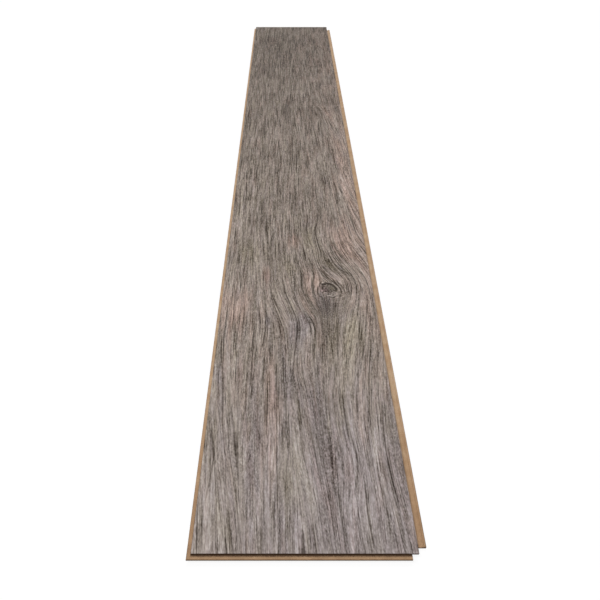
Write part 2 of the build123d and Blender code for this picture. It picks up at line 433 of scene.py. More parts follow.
@dataclass
class GrainField:
    """The run of the grain over the face, worked out from the listed grain lines that follow it.

    Sizes are in millimetres. A grain line is named by where it crosses a section's middle. Sections lie
    one after another along the board, so that no name is carried far from where it was given.
    """

    half_width: float
    half_length: float
    row_step: float = 2.0
    seed_step: float = 0.8
    margin: float = 60.0
    sample_step: float = 5.0
    straight_pull: float = 0.03
    fine_reach: Span = (8.0, 12.0)
    broad_reach: Span = (30.0, 45.0)
    pinned_from: float = 0.6
    column_start: float = -500.0
    middles: tuple[float, ...] = (
        -800.0, -640.0, -500.0, -375.0, -260.0, -110.0, 70.0, 270.0, 470.0, 640.0, 800.0,
    )
    steady_part: float = 0.18
    rows: np.ndarray = field(init=False)
    seeds: np.ndarray = field(init=False)
    fine_slope: np.ndarray = field(init=False)
    section_lines: list[np.ndarray] = field(init=False)

    def __post_init__(self) -> None:
        """Works out the slopes and traces each section's lines."""
        reach = self.half_length + 2 * self.row_step
        self.rows = np.arange(-reach, reach + self.row_step, self.row_step)
        edge = self.half_width + self.margin
        self.seeds = np.arange(-edge, edge, self.seed_step)
        self.fine_slope = self.slopes(*self.fine_reach)
        self.section_lines = [self.trace(self.fine_slope, self.seeds, middle) for middle in self.middles]

    def slopes(self, across_reach: float, along_reach: float) -> np.ndarray:
        """Slope of the grain on every row and seed: the mean slope of the followed lines close by.

        Each line is sampled every few millimetres. A sample's weight falls off as the bell curve of its
        distance, and a small constant weight pulls towards the straight grain of the open board.

        Args:
            across_reach: width of the bell curve across the board.
            along_reach: its width along the board.

        Returns:
            Change of the place across for each millimetre along, one row for each of self.rows.
        """
        samples = []
        for line in GRAIN_LINES:
            y = np.arange(line[0][0], line[-1][0], self.sample_step)
            x = smooth_path(line, y)
            samples.append(np.stack([y, x, np.gradient(x, y)]))
        y, x, slope = np.concatenate(samples, axis=1)
        near_row = np.exp(-(((self.rows[:, None] - y) / along_reach) ** 2))
        near_seed = np.exp(-(((self.seeds[:, None] - x) / across_reach) ** 2))
        weight = near_row @ near_seed.T + self.straight_pull
        return (near_row * slope) @ near_seed.T / weight

    def trace(self, slope: np.ndarray, starts: np.ndarray, start: float, pinned: bool = False) -> np.ndarray:
        """Follows the slopes from a starting row to both ends of the board.

        Each step adds the slope at the line's place times the step's length.

        Args:
            slope: slopes on every row and seed.
            starts: places across the board on the starting row.
            start: the starting row's place along the board.
            pinned: True lets the slope fade out at the board's edges, so that no line leaves the face.

        Returns:
            Each line's place across the board on every row.
        """
        lines = np.empty((len(self.rows), len(starts)))
        first = int(np.argmin(np.abs(self.rows - start)))
        for way, order in ((1, range(first, len(self.rows))), (-1, range(first, -1, -1))):
            x = starts.copy()
            for row in order:
                lines[row] = x
                step = np.interp(x, self.seeds, slope[row]) * self.row_step * way
                if pinned:
                    step *= 1 - smooth_step(self.pinned_from, 1.0, np.abs(x) / self.half_width)
                x = x + step
        return lines

    def columns(self, count: int) -> np.ndarray:
        """Traces evenly spread lines that follow the grain broadly and stay on the face."""
        starts = np.linspace(-self.half_width, self.half_width, count)
        return self.trace(self.slopes(*self.broad_reach), starts, self.column_start, pinned=True)

    def line_through(self, across: float, along: float, y: np.ndarray) -> np.ndarray:
        """Place across the board, at each y, of the grain line through one place."""
        line = self.trace(self.fine_slope, np.array([across]), along)[:, 0]
        return np.interp(y, self.rows, line)

    def on_rows(self, lines: np.ndarray, y: np.ndarray) -> np.ndarray:
        """Reads traced lines at other places along the board, straight between rows.

        Args:
            lines: each line's place across the board on every row.
            y: places along the board.

        Returns:
            Each line's place across the board, one row for each value of y.
        """
        last = len(self.rows) - 1
        place = np.clip((y - self.rows[0]) / self.row_step, 0, last)
        row = np.minimum(place.astype(int), last - 1)
        share = (place - row)[:, None]
        return lines[row] * (1 - share) + lines[row + 1] * share

    def names(self, x: np.ndarray, y: np.ndarray, parity: int) -> tuple[np.ndarray, np.ndarray, np.ndarray]:
        """Names each place by its grain line in the nearest even or odd section.

        A section's share is 1 at its middle and falls along a quarter cosine to 0 at its neighbours'
        middles, with a steady stretch at both ends. The squares of both shares add up to 1.

        Args:
            x: places across the board, one row for each value of y.
            y: places along the board.
            parity: 0 for the even sections, 1 for the odd ones.

        Returns:
            Where each place's grain line crosses its section's middle, the section's number on every
            row, and the section's share on every row.
        """
        middles = np.array(self.middles)
        before = np.clip(np.searchsorted(middles, y) - 1, 0, len(middles) - 2)
        section = np.where(before % 2 == parity, before, before + 1)
        t = (y - middles[before]) / (middles[before + 1] - middles[before])
        turned = np.clip((t - self.steady_part) / (1 - 2 * self.steady_part), 0, 1) * math.pi / 2
        share = np.where(section == before, np.cos(turned), np.sin(turned))
        name = np.empty_like(x)
        for number in np.unique(section):
            here = section == number
            lines = self.on_rows(self.section_lines[number], y[here])
            name[here] = [np.interp(row, line, self.seeds) for row, line in zip(x[here], lines)]
        return name, section, share


@dataclass(frozen=True)
class Furrow:
    """One kind of the grain's open lines, read from noise that is stretched along the grain.

    Its size, across the grain and along it, is in millimetres. A line opens where the noise goes from
    the first to the second value of opens. Depth is its share of the furrows' full depth.
    """

    size: Span
    seed: Seed
    opens: Span
    depth: float


@dataclass
class FacePattern:
    """What is printed and pressed at each place of the face: grain, clouds of tone, furrows, the knot.

    Sizes and depths are in millimetres. Sizes and reaches in pairs are across the grain and along it. The
    shifts keep the noise of neighbouring sections apart. Broken lines have points of (place, height).
    """

    grain: GrainField
    x: np.ndarray
    rows: np.ndarray
    knot: Knot = Knot()
    print_shift: float = 9.7
    noise_shift: float = 61.0
    bend_size: Span = (9.0, 45.0)
    patch_size: Span = (2.5, 30.0)
    patch_ragged: float = 0.4
    furrow_kinds: tuple[Furrow, ...] = (
        Furrow((1.9, 34.0), Seed.LONG_FURROWS, (0.25, 0.8), 1.0),
        Furrow((1.25, 13.0), Seed.SHORT_FURROWS, (0.3, 0.85), 0.8),
    )
    furrow_depth: float = 0.09
    furrow_bend: float = 1.2
    wear: float = 0.35
    wear_size: Span = (14.0, 80.0)
    crack_waver: float = 0.5
    crack_waver_length: float = 14.0
    crack_end_width: float = 0.45
    knot_contrast: float = 0.3
    contrast_reach: Span = (75.0, 90.0)
    calm_in_clouds: float = 2.0
    darkest_cloud: float = 0.3
    # Painted light and shade along the board: the face's tone is a little lighter at the near end and darker
    # towards the far end
    painted_shade_towards_far_end: Points = (
        (-690, 0.07), (-600, 0.065), (-540, 0.02), (-440, 0.0), (-340, -0.03), (-260, -0.07), (-75, -0.09),
        (50, -0.11), (250, -0.18), (350, -0.18), (450, -0.26), (550, -0.26), (690, -0.26),
    )
    near_to_far_lines: Points = ((-690, 0.86), (-550, 0.92), (-300, 1.04), (0, 1.0), (690, 1.0))
    right_side: Points = ((64, 0.0), (84, 1.0))
    right_side_lift: Points = ((-380, 0.0), (-330, 0.13), (-220, 0.13), (-100, 0.11), (0, 0.04), (150, 0.0))
    rosy_side: Points = ((0, 0.0), (60, 0.15), (95, 0.4))
    rosy_from: Span = (-560.0, -440.0)
    violet_side: Points = ((-60, 0.7), (20, 1.4))
    violet_end: Points = ((-690, 0.75), (-600, 0.55), (-480, 0.0))
    y: np.ndarray = field(init=False)
    radius: np.ndarray = field(init=False)
    angle: np.ndarray = field(init=False)
    ways: list[tuple[np.ndarray, np.ndarray, np.ndarray]] = field(init=False)
    clouds: np.ndarray = field(init=False)

    def __post_init__(self) -> None:
        """Names every place by its grain lines and by its place about the knot."""
        self.y = np.broadcast_to(self.rows[:, None], self.x.shape)
        self.radius, self.angle = self.knot.polar(self.x, self.y)
        self.ways = [self.grain.names(self.x, self.rows, parity) for parity in (0, 1)]
        self.clouds = self.patch_sum()

    def print_place(self, parity: int) -> np.ndarray:
        """Vector that the print's noise reads: the grain line's name, the place along, the section.

        Args:
            parity: 0 for the even sections, 1 for the odd ones.

        Returns:
            One vector for each place.
        """
        name, section, _ = self.ways[parity]
        shift = np.broadcast_to(self.print_shift * section[:, None], name.shape)
        return np.stack([name, self.y, shift], axis=-1)

    def shares(self) -> np.ndarray:
        """Shares of the even sections, of the odd sections and of the knot's rings.

        The rings reach a little past the rim, and further on the knot's open side: by a power of the
        cosine of the angle from that side. They take their share from both ways of naming the grain.

        Returns:
            The three shares at each place.
        """
        knot = self.knot
        side = np.clip(np.cos(self.angle - knot.open_side), 0, 1) ** knot.open_narrowing
        reach = knot.ring_reach + knot.open_reach * side
        rings = smooth_step(reach + knot.ring_fade, reach - knot.ring_fade, self.radius)
        left = np.sqrt(1 - rings**2)
        even, odd = (np.broadcast_to(share[:, None], self.x.shape) for _, _, share in self.ways)
        return np.stack([even * left, odd * left, rings], axis=-1)

    def knot_place(self) -> np.ndarray:
        """Place about the knot. The rim's darkness is a steady part plus the cosine from its dark side.

        Returns:
            The radius, the darkness of the rim, and a place round the knot without a seam.
        """
        steady = self.knot.rim_all_round
        rim = steady + (1 - steady) * np.cos(self.angle - self.knot.dark_side)
        return np.stack([self.radius, rim, np.cos(self.angle)], axis=-1)

    def blended(self, size: Span, seed: int, bend: float = 0.0) -> np.ndarray:
        """Stretched noise along the grain, blended from both ways of naming it.

        Args:
            size: size of the noise across the grain and along it.
            seed: chooses the noise.
            bend: how far the lines waver across.

        Returns:
            Noise of about -1 to 1 at each place.
        """
        total = np.zeros(self.x.shape)
        for name, section, share in self.ways:
            line = name + self.noise_shift * section[:, None]
            line = line + bend * lattice_noise(line / self.bend_size[0], self.y / self.bend_size[1], seed + 1)
            total += share[:, None] * lattice_noise(line / size[0], self.y / size[1], seed)
        return total

    def patch_sum(self) -> np.ndarray:
        """Sums the patches.

        Each patch is a bell curve of the distance along the board and of the distance from the grain line
        through its middle, made ragged by stretched noise.

        Returns:
            Tone, rosy and violet shares at each place.
        """
        total = np.zeros(self.x.shape + (3,))
        ragged = 1 + self.patch_ragged * self.blended(self.patch_size, Seed.PATCHES)
        for patch in PATCHES:
            line = self.grain.line_through(patch.across, patch.along, self.rows)[:, None]
            share = ragged * bell((self.y - patch.along) / patch.length, (self.x - line) / patch.width)
            total += share[..., None] * np.array([patch.tone, patch.rosy, patch.violet])
        return total

    def zones(self) -> np.ndarray:
        """Adds slow changes over the whole face to the patches, among them painted light and shade: the tone
        is lifted at the near end and darkened towards the far end.

        Returns:
            Tone, rosy and violet shares at each place.
        """
        total = self.clouds.copy()
        # painted shade: lighter at the near end, darker towards the far end
        total[..., 0] += follow(self.painted_shade_towards_far_end, self.y)
        total[..., 0] += follow(self.right_side, self.x) * follow(self.right_side_lift, self.y)
        total[..., 1] += follow(self.rosy_side, self.x) * smooth_step(*self.rosy_from, self.y)
        total[..., 2] += follow(self.violet_side, self.x) * follow(self.violet_end, self.y)
        return total

    def strength(self) -> np.ndarray:
        """Strength of the print's lines: about 1 on the open board, more about the knot, by a bell curve.

        Dark clouds calm it, in step with their darkness.

        Returns:
            The strength at each place.
        """
        across, along = self.contrast_reach
        near = bell((self.y - self.knot.along) / along, (self.x - self.knot.across) / across)
        calm = 1 - self.calm_in_clouds * self.dark_clouds()
        return (follow(self.near_to_far_lines, self.y) + self.knot_contrast * near) * calm

    def dark_clouds(self) -> np.ndarray:
        """How much the patches darken each place."""
        return np.clip(-self.clouds[..., 0], 0.0, self.darkest_cloud)

    def cracks(self) -> np.ndarray:
        """Presses the splits: a bell curve across each line, thinning out at both ends.

        Returns:
            Depth at each place.
        """
        depth = np.zeros(self.x.shape)
        for crack in CRACKS:
            start, end = crack.points[0][0], crack.points[-1][0]
            share = np.clip((self.y - start) / (end - start), 0, 1)
            taper = np.sqrt(np.clip(4 * share * (1 - share), 0, 1))
            waver = lattice_noise(self.y / self.crack_waver_length, np.full_like(self.y, start), Seed.CRACKS)
            off = self.x - smooth_path(crack.points, self.y) - self.crack_waver * waver
            width = crack.width * (self.crack_end_width + (1 - self.crack_end_width) * taper)
            depth = np.maximum(depth, crack.depth * taper * np.exp(-((2 * off / width) ** 2)))
        return depth

    def furrows(self) -> np.ndarray:
        """Presses the grain's open lines, where stretched noise passes a threshold, worn here and there.

        Returns:
            Depth at each place.
        """
        opened = [
            kind.depth * smooth_step(*kind.opens, self.blended(kind.size, kind.seed, self.furrow_bend))
            for kind in self.furrow_kinds
        ]
        across, along = self.wear_size
        worn = 1 - self.wear * (1 - lattice_noise(self.x / across, self.y / along, Seed.WEAR))
        return self.furrow_depth * np.max(opened, axis=0) * worn

    def relief(self) -> np.ndarray:
        """Joins what is pressed: the deepest of cracks, furrows and the knot's rim, and the knot's dish.

        The rim is a bell curve of the radius. Furrows are shallower inside the knot.

        Returns:
            Depth below the board's highest plane at each place.
        """
        knot = self.knot
        inside = knot.furrows_inside
        calmed = self.furrows() * (inside + (1 - inside) * smooth_step(*knot.furrow_edge, self.radius))
        off_rim = (self.radius - 1) / knot.rim_breadth
        rim = knot.rim_depth * np.exp(-(off_rim**2)) * self.knot_place()[..., 1]
        dish = knot.dish_depth * smooth_step(*knot.dish_edge, self.radius)
        return np.maximum(np.maximum(self.cracks(), calmed), rim) + dish


@dataclass(frozen=True)
class Stop:
    """A colour of a ramp and its place from 0 to 1. The colour is in display values from 0 to 255."""

    place: float
    display: Colour


def to_linear(display: Colour, share: float = 1.0) -> tuple[float, float, float, float]:
    """Turns display values from 0 to 255 into opaque linear light.

    The display's standard curve is a straight line close to black and a power of 2.4 above it.

    Args:
        display: the colour as a screen shows it.
        share: factor on its display values.

    Returns:
        Red, green, blue and an alpha of 1.
    """
    v = np.asarray(display, dtype=float) * share / 255
    return (*(float(c) for c in np.where(v <= 0.04045, v / 12.92, ((v + 0.055) / 1.055) ** 2.4)), 1.0)


class Wiring:
    """Short ways to add and join the nodes of one tree."""

    ROW_LENGTH = 12
    NODE_WIDTH = 190
    NODE_HEIGHT = 260
    NOISE_SPREAD = 4.0

    def __init__(self, tree: bpy.types.NodeTree) -> None:
        """Keeps the tree to work on."""
        self.tree = tree

    def node(self, kind: str, **settings: object) -> bpy.types.Node:
        """Adds a node at the next place of the tree's rows.

        Args:
            kind: the node's type.
            settings: properties to set, by name.

        Returns:
            The node.
        """
        made = self.tree.nodes.new(kind)
        row, column = divmod(len(self.tree.nodes), self.ROW_LENGTH)
        made.location = (column * self.NODE_WIDTH, -row * self.NODE_HEIGHT)
        for name, value in settings.items():
            setattr(made, name, value)
        return made

    def feed(self, socket: Socket, value: Value | tuple) -> None:
        """Fills a socket.

        Args:
            socket: the input.
            value: an output to link to it, or a number or colour to set.
        """
        if isinstance(value, bpy.types.NodeSocket):
            self.tree.links.new(value, socket)
        else:
            socket.default_value = value

    def math(self, operation: str, *values: Value, clamp: bool = False) -> Socket:
        """Puts an arithmetic node after the values.

        Args:
            operation: what it works out.
            values: its operands, in order.
            clamp: True keeps the result between 0 and 1.

        Returns:
            The result.
        """
        made = self.node("ShaderNodeMath", operation=operation, use_clamp=clamp)
        for socket, value in zip(made.inputs, values):
            self.feed(socket, value)
        return made.outputs[0]

    def add(self, *values: Value) -> Socket:
        """Adds all the values up.

        Args:
            values: two or more values.

        Returns:
            The sum.
        """
        total = values[0]
        for value in values[1:]:
            total = self.math("ADD", total, value)
        return total

    def times(self, a: Value, b: Value) -> Socket:
        """Multiplies two values."""
        return self.math("MULTIPLY", a, b)

    def step(self, value: Value, start: float, end: float) -> Socket:
        """Goes smoothly from 0 at the start to 1 at the end, whichever is the higher.

        Args:
            value: what is measured.
            start: where it is 0.
            end: where it is 1.

        Returns:
            The share.
        """
        made = self.node("ShaderNodeMapRange", interpolation_type="SMOOTHSTEP")
        rising = start < end
        self.feed(made.inputs["Value"], value)
        made.inputs["From Min"].default_value = min(start, end)
        made.inputs["From Max"].default_value = max(start, end)
        made.inputs["To Min"].default_value = 0.0 if rising else 1.0
        made.inputs["To Max"].default_value = 1.0 if rising else 0.0
        return made.outputs["Result"]

    def vector(self, *parts: Value) -> Socket:
        """Joins values to a vector.

        Args:
            parts: its x, y and z.

        Returns:
            The vector.
        """
        made = self.node("ShaderNodeCombineXYZ")
        for socket, value in zip(made.inputs, parts):
            self.feed(socket, value)
        return made.outputs[0]

    def split(self, vector: Socket) -> tuple[Socket, ...]:
        """Takes a vector apart.

        Args:
            vector: the vector.

        Returns:
            Its x, y and z.
        """
        made = self.node("ShaderNodeSeparateXYZ")
        self.feed(made.inputs[0], vector)
        return tuple(made.outputs)

    def attribute(self, layer: Layer) -> Socket:
        """Reads one of the face's own attributes as a vector."""
        made = self.node("ShaderNodeAttribute", attribute_type="GEOMETRY", attribute_name=layer.value)
        return made.outputs["Vector"]

    def noise(self, place: Value, scale: float, detail: float) -> Socket:
        """Adds fractal noise and spreads it to about -1 to 1.

        Args:
            place: the vector that it reads.
            scale: its cells for each unit of the vector.
            detail: how many finer layers it has.

        Returns:
            The spread noise.
        """
        made = self.node("ShaderNodeTexNoise", noise_dimensions="3D")
        self.feed(made.inputs["Vector"], place)
        made.inputs["Scale"].default_value = scale
        made.inputs["Detail"].default_value = detail
        return self.math("MULTIPLY_ADD", made.outputs[0], self.NOISE_SPREAD, -self.NOISE_SPREAD / 2)

    def bump(self, strength: float, distance: float, height: Value) -> Socket:
        """Tilts the surface by a height's slope.

        Args:
            strength: share of the tilt that shows.
            distance: how far one unit of height stands out, in millimetres.
            height: the height.

        Returns:
            The normal.
        """
        made = self.node("ShaderNodeBump")
        made.inputs["Strength"].default_value = strength
        made.inputs["Distance"].default_value = distance * MM
        self.feed(made.inputs["Height"], height)
        return made.outputs[0]

    def mix(
        self, what: Mixed, share: Value, a: Value | tuple, b: Value | tuple, blend: str = "MIX"
    ) -> Socket:
        """Mixes two numbers or two colours.

        Args:
            what: numbers or colours.
            share: how much of the second shows, from 0 to 1.
            a: the first.
            b: the second.
            blend: how one colour is laid over the other.

        Returns:
            The mixture.
        """
        kind, ending = what.value
        made = self.node("ShaderNodeMix", data_type=kind, clamp_factor=True)
        if what is Mixed.COLOUR:
            made.blend_type = blend
        sockets = {socket.identifier: socket for socket in made.inputs}
        self.feed(sockets["Factor_Float"], share)
        self.feed(sockets[f"A_{ending}"], a)
        self.feed(sockets[f"B_{ending}"], b)
        return next(socket for socket in made.outputs if socket.identifier == f"Result_{ending}")

    def ramp(self, value: Value, stops: tuple[Stop, ...]) -> Socket:
        """Colours a value.

        Args:
            value: the place on the ramp, from 0 to 1.
            stops: the ramp's colours, in order.

        Returns:
            The colour.
        """
        made = self.node("ShaderNodeValToRGB")
        self.feed(made.inputs[0], value)
        elements = made.color_ramp.elements
        while len(elements) < len(stops):
            elements.new(0.5)
        for element, stop in zip(elements, stops):
            element.position, element.color = stop.place, to_linear(stop.display)
        return made.outputs[0]

    def group(self, tree: bpy.types.NodeTree, **values: Value) -> Sockets:
        """Places a shared group.

        Args:
            tree: the group.
            values: what goes into each input, by name.

        Returns:
            The group's outputs.
        """
        made = self.node("ShaderNodeGroup", node_tree=tree)
        for name, value in values.items():
            self.feed(made.inputs[name], value)
        return made.outputs


def new_group(
    name: str, inputs: dict[str, float | None], outputs: tuple[str, ...]
) -> tuple[Wiring, Sockets, Sockets]:
    """Makes an empty node group.

    Args:
        name: the group's name.
        inputs: each input's name with its starting number, or None for a vector.
        outputs: the names of the numbers that it puts out.

    Returns:
        The wiring, the sockets that bring the inputs, and the sockets that take the outputs.
    """
    tree = bpy.data.node_groups.new(name, "ShaderNodeTree")
    for title, start in inputs.items():
        kind = "NodeSocketVector" if start is None else "NodeSocketFloat"
        made = tree.interface.new_socket(title, in_out="INPUT", socket_type=kind)
        if start is not None:
            made.default_value = start
    for title in outputs:
        tree.interface.new_socket(title, in_out="OUTPUT", socket_type="NodeSocketFloat")
    wire = Wiring(tree)
    return wire, wire.node("NodeGroupInput").outputs, wire.node("NodeGroupOutput").inputs


class SharedNoise:
    """Node groups of noise that the finishes share, each built once."""

    STREAKS = "grain_streaks"
    STREAK_DETAIL = 1.5
    FIBRES = "pressed_fibres"
    FIBRE_DETAIL = 3.0
    CLOUD_SCALE = 0.07

    @classmethod
    def streaks(cls) -> bpy.types.NodeTree:
        """Noise stretched along the grain.

        The coordinates are divided by the width across and the length along, and the seed shifts the
        third one.

        Returns:
            The group.
        """
        if cls.STREAKS in bpy.data.node_groups:
            return bpy.data.node_groups[cls.STREAKS]
        starts = {"Place": None, "Width": 2.0, "Length": 30.0, "Seed": 0.0}
        wire, given, out = new_group(cls.STREAKS, starts, ("Streak",))
        x, y, z = wire.split(given["Place"])
        across = wire.math("DIVIDE", x, given["Width"])
        along = wire.math("DIVIDE", y, given["Length"])
        place = wire.vector(across, along, wire.add(z, given["Seed"]))
        wire.feed(out["Streak"], wire.noise(place, 1.0, cls.STREAK_DETAIL))
        return wire.tree

    @classmethod
    def fibres(cls) -> bpy.types.NodeTree:
        """Speckle of pressed wood fibres in every direction, and slow clouds of the same noise.

        Returns:
            The group.
        """
        if cls.FIBRES in bpy.data.node_groups:
            return bpy.data.node_groups[cls.FIBRES]
        wire, given, out = new_group(cls.FIBRES, {"Place": None, "Grain": MM}, ("Speckle", "Cloud"))
        place = wire.node("ShaderNodeVectorMath", operation="SCALE")
        wire.feed(place.inputs[0], given["Place"])
        wire.feed(place.inputs["Scale"], wire.math("DIVIDE", 1.0, given["Grain"]))
        for title, scale in (("Speckle", 1.0), ("Cloud", cls.CLOUD_SCALE)):
            wire.feed(out[title], wire.noise(place.outputs[0], scale, cls.FIBRE_DETAIL))
        return wire.tree


def new_material(name: str) -> tuple[bpy.types.Material, Wiring, bpy.types.Node]:
    """Makes an empty material with a Principled shader.

    Args:
        name: the material's name.

    Returns:
        The material, its wiring and the shader's node.
    """
    material = bpy.data.materials.new(name)
    material.use_nodes = True
    material.node_tree.nodes.clear()
    wire = Wiring(material.node_tree)
    shader = wire.node("ShaderNodeBsdfPrincipled")
    wire.feed(wire.node("ShaderNodeOutputMaterial").inputs["Surface"], shader.outputs[0])
    return material, wire, shader


@dataclass(frozen=True)
class Streak:
    """One kind of streaks in the print.

    Width and length are in millimetres, weight is how strongly it shows, and seed its place in the noise.
    Opens holds the two values of the noise between which a thin streak fades in.
    """

    width: float
    length: float
    weight: float
    seed: float
    opens: Span = (0.0, 1.0)

    def noise(self, wire: Wiring, place: Value) -> Socket:
        """Places the shared streak noise at this size.

        Args:
            wire: the tree's wiring.
            place: the vector that the noise reads.

        Returns:
            The noise, of about -1 to 1.
        """
        tree = SharedNoise.streaks()
        made = wire.group(tree, Place=place, Width=self.width, Length=self.length, Seed=self.seed)
        return made["Streak"]

    def weighed(self, wire: Wiring, place: Value) -> Socket:
        """The noise times the weight."""
        return wire.times(self.noise(wire, place), self.weight)

    def opened(self, wire: Wiring, place: Value) -> Socket:
        """How far the streak has opened, from 0 to 1."""
        return wire.step(self.noise(wire, place), *self.opens)


@dataclass(frozen=True)
class Band:
    """A band round the knot: its radius, how far off it starts and is full, and its tone.

    Lengths are shares of the rim's radius.
    """

    radius: float
    starts: float
    full: float
    tone: float

    def shaded(self, wire: Wiring, radius: Value, rim: Value) -> Socket:
        """Tone of the band.

        Args:
            wire: the tree's wiring.
            radius: the radius about the knot.
            rim: the rim's darkness on this side of the knot.

        Returns:
            The tone that it adds.
        """
        off = wire.math("ABSOLUTE", wire.math("SUBTRACT", radius, self.radius))
        return wire.times(wire.times(wire.step(off, self.starts, self.full), rim), self.tone)


@dataclass(frozen=True)
class KnotPrint:
    """Print of the knot: ring streaks, a ragged dark rim with a pale halo, and a mottled heart.

    The radius is scaled to millimetres by the knot's half-width, and the way round it by round_scale.
    """

    round_scale: float = 12.0
    noise_layer: float = 40.0
    rings: Streak = Streak(2.0, 16.0, 0.30, 33.0)
    rings_edge: Span = (0.8, 1.2)
    mottle: Streak = Streak(2.3, 2.2, 0.46, 44.0)
    ragged: Streak = Streak(3.0, 4.0, 0.13, 55.0)
    rim: Band = Band(0.98, 0.33, 0.08, -0.74)
    halo: Band = Band(1.27, 0.16, 0.02, 0.26)
    heart: float = -0.17
    heart_edge: Span = (1.0, 0.8)

    def tone(self, wire: Wiring, half_width: float, radius: Value, rim: Value, around: Value) -> Socket:
        """Tone inside and about the knot.

        Args:
            wire: the tree's wiring.
            half_width: half the knot's width in millimetres.
            radius: the radius about the knot as a share of the rim's.
            rim: the rim's darkness on this side of the knot.
            around: the place round the knot, without a seam.

        Returns:
            The tone that it adds.
        """
        across = wire.times(radius, half_width)
        place = wire.vector(across, wire.times(around, self.round_scale), self.noise_layer)
        rings = wire.times(self.rings.weighed(wire, place), wire.step(radius, *self.rings_edge))
        mottle = self.mottle.weighed(wire, place)
        ragged = wire.add(radius, self.ragged.weighed(wire, place))
        dark_rim = self.rim.shaded(wire, ragged, rim)
        halo = self.halo.shaded(wire, ragged, rim)
        heart = wire.times(wire.step(ragged, *self.heart_edge), self.heart)
        return wire.add(rings, mottle, dark_rim, halo, heart)


@dataclass(frozen=True)
class OakPrint:
    """Finish of the face: weathered grey-brown oak under a matt wear layer.

    Plates are flat pale stretches with speckled gaps between them. Hairlines and dashes are the print's
    dark lines, and dashes gather in crowds.
    """

    toned: tuple[Streak, ...] = (
        Streak(26.0, 260.0, 0.05, 0.0),
        Streak(8.0, 130.0, 0.07, 17.3),
        Streak(1.15, 28.0, 0.11, 34.6),
        Streak(1.15, 6.0, 0.18, 51.9),
    )
    plates: Streak = Streak(2.2, 46.0, 0.17, 205.0, (-0.3, 0.12))
    plate_middle: float = 0.6
    hairlines: Streak = Streak(1.1, 64.0, 0.42, 91.0, (-0.3, -0.62))
    dashes: Streak = Streak(0.9, 13.0, 0.30, 57.0, (-0.25, -0.7))
    crowds: Streak = Streak(4.0, 60.0, 1.0, 123.0, (-0.7, 0.5))
    speckle: Streak = Streak(1.0, 2.4, 0.09, 141.0)
    speckle_in_gaps: float = 0.12
    speckle_in_clouds: float = 0.8
    warm: Streak = Streak(6.0, 60.0, 0.5, 71.0)
    cool: Streak = Streak(5.0, 40.0, 0.4, 83.0)
    knot_print: KnotPrint = KnotPrint()
    tones: tuple[Stop, ...] = (
        Stop(0.0, (57, 49, 43)),
        Stop(0.25, (96, 86, 77)),
        Stop(0.5, (133, 122, 113)),
        Stop(0.75, (164, 152, 143)),
        Stop(1.0, (198, 187, 177)),
    )
    middle: float = 0.645
    darkest_line: float = 0.52
    dark_softness: float = 0.2
    furrow_weight: float = 0.32
    furrow_full: float = 0.12
    roughness: float = 0.64
    line_roughness: float = 0.3
    specular: float = 0.12
    bump: float = 0.4
    bump_height: float = 0.07
    bump_lines: float = -2.5
    bump_tone: float = 0.6

    def grain_group(self) -> bpy.types.NodeTree:
        """Streaks of several sizes, thin dark hairlines and short dashes, as one shared group.

        Returns:
            The group.
        """
        wire, given, out = new_group("oak_grain", {"Place": None}, GRAIN_SIGNALS)
        place = given["Place"]
        tones = [kind.weighed(wire, place) for kind in self.toned]
        plate = self.plates.opened(wire, place)
        tones.append(wire.times(wire.math("SUBTRACT", plate, self.plate_middle), self.plates.weight))
        speckle = self.speckle.noise(wire, place)
        gaps = wire.times(wire.math("SUBTRACT", 1.0, plate), self.speckle_in_gaps)
        tones.append(wire.times(speckle, gaps))
        hair = wire.times(self.hairlines.opened(wire, place), self.hairlines.weight)
        dash = wire.times(self.dashes.opened(wire, place), self.crowds.opened(wire, place))
        lines = wire.add(hair, wire.times(dash, self.dashes.weight))
        warm, cool = self.warm.noise(wire, place), self.cool.noise(wire, place)
        for title, value in zip(GRAIN_SIGNALS, (wire.add(*tones), lines, speckle, warm, cool)):
            wire.feed(out[title], value)
        return wire.tree

    def material(self, knot: Knot) -> bpy.types.Material:
        """Builds the print: the grain by both ways of naming it, furrows, the knot, and tints.

        Args:
            knot: the knot's size.

        Returns:
            The material, which reads the face's own attributes.
        """
        material, wire, shader = new_material("weathered_oak_print")
        tree = self.grain_group()
        even = wire.group(tree, Place=wire.attribute(Layer.EVEN_GRAIN))
        odd = wire.group(tree, Place=wire.attribute(Layer.ODD_GRAIN))
        even_share, odd_share, rings = wire.split(wire.attribute(Layer.SHARES))
        radius, rim, around = wire.split(wire.attribute(Layer.KNOT))
        # tone_zone carries the patches and the painted shade that darkens the face towards the far end
        tone_zone, rosy, violet = wire.split(wire.attribute(Layer.ZONES))
        relief, strength, cloud = wire.split(wire.attribute(Layer.PRESSED))
        furrow = wire.math("DIVIDE", relief, self.furrow_full)
        tone, lines, speckle, warm, cool = (
            wire.add(wire.times(even[title], even_share), wire.times(odd[title], odd_share))
            for title in GRAIN_SIGNALS
        )
        grit = wire.math("MULTIPLY_ADD", cloud, self.speckle_in_clouds, self.speckle.weight)
        dark = wire.add(wire.times(lines, strength), wire.times(furrow, self.furrow_weight))
        dark = wire.math("SMOOTH_MIN", dark, self.darkest_line, self.dark_softness)
        tone = wire.add(wire.times(tone, strength), wire.times(speckle, grit))
        knot_tone = self.knot_print.tone(wire, knot.half_width, radius, rim, around)
        tone = wire.add(self.middle, tone_zone, tone, wire.times(knot_tone, rings))
        tone = wire.math("SUBTRACT", tone, dark)
        warmth = wire.add(rosy, wire.times(warm, self.warm.weight))
        coolness = wire.add(violet, wire.times(cool, self.cool.weight))
        colour = self.tinted(wire, wire.ramp(tone, self.tones), warmth, coolness)
        wire.feed(shader.inputs["Base Color"], colour)
        roughness = wire.add(self.roughness, wire.times(lines, self.line_roughness))
        wire.feed(shader.inputs["Roughness"], roughness)
        shader.inputs["Specular IOR Level"].default_value = self.specular
        height = wire.add(wire.times(lines, self.bump_lines), wire.times(tone, self.bump_tone))
        wire.feed(shader.inputs["Normal"], wire.bump(self.bump, self.bump_height, height))
        return material

